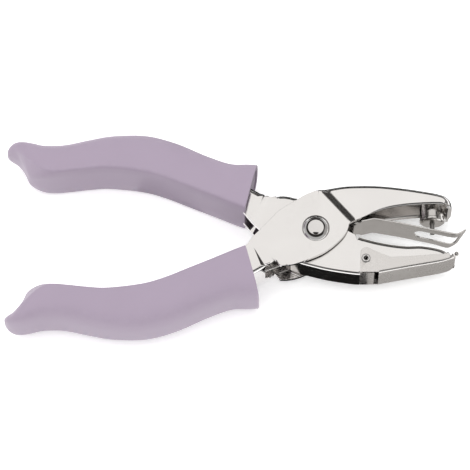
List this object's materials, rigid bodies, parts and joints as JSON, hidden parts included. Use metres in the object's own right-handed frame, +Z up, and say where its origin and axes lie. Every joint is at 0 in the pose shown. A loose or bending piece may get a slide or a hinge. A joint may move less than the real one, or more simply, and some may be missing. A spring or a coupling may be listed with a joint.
{
  "type": "hole punch",
  "caption": "Plier-style single-hole paper punch with cushioned handles, sprung jaws, stripper strip and swing-out chip catcher.",
  "frame": {"origin": "centre of the overall box on the surface the tool lies on", "axes": "+X from the handles to the jaws, +Y towards the jaw that holds the punch, +Z up, square to the levers"},
  "size_m": [0.1529, 0.0698, 0.02],
  "materials": {
    "lever_chrome": "bright nickel-chrome plate on pressed steel",
    "rivet_chrome": "polished domed rivet",
    "steel_dark": "plain hardened steel, thin oil film",
    "spring_steel": "bright rolled spring steel",
    "holder_nickel": "turned and nickel plated",
    "catcher_nickel": "dull nickel plate",
    "grip_vinyl": "soft matte lavender vinyl"
  },
  "bodies": {
    "inner_arm": {"inner_lever": "lever_chrome", "grip_upper": "grip_vinyl", "pivot_rivet": "rivet_chrome", "pivot_bush": "steel_dark", "pivot_washers": "steel_dark", "return_spring": "spring_steel", "die_bush": "steel_dark", "catcher_rivets": "rivet_chrome", "catcher_detent": "catcher_nickel", "latch_clip": "holder_nickel", "latch_wire": "holder_nickel"},
    "outer_arm": {"outer_lever": "lever_chrome", "grip_lower": "grip_vinyl", "punch_holder": "holder_nickel", "punch_pin": "steel_dark", "pin_screw": "steel_dark", "stripper_pin": "steel_dark"},
    "stripper": {"stripper_strip": "spring_steel"},
    "catcher": {"chip_catcher": "catcher_nickel"}
  },
  "joints": [
    {"name": "squeeze", "type": "hinge", "parent": "inner_arm", "child": "outer_arm", "pos_m": [0.02685, 0, 0.01], "axis": [0, 0, -1], "range_deg": [0, 11.5], "stiffness_Nm_per_rad": 0.6, "springref_deg": -20.05, "deforming": ["return_spring"]},
    {"name": "stripper_flex", "type": "hinge", "parent": "outer_arm", "child": "stripper", "pos_m": [0.04025, 0.00365, 0.01], "axis": [0, 0, 1], "range_deg": [0, 8.6]},
    {"name": "catcher_open", "type": "hinge", "parent": "inner_arm", "child": "catcher", "pos_m": [0.04335, -0.0103, 0.01], "axis": [0, 0, -1], "range_deg": [0, 50]}
  ],
  "couplings": [
    {"joint": "stripper_flex", "follows": "squeeze", "ratio": 0.74}
  ]
}
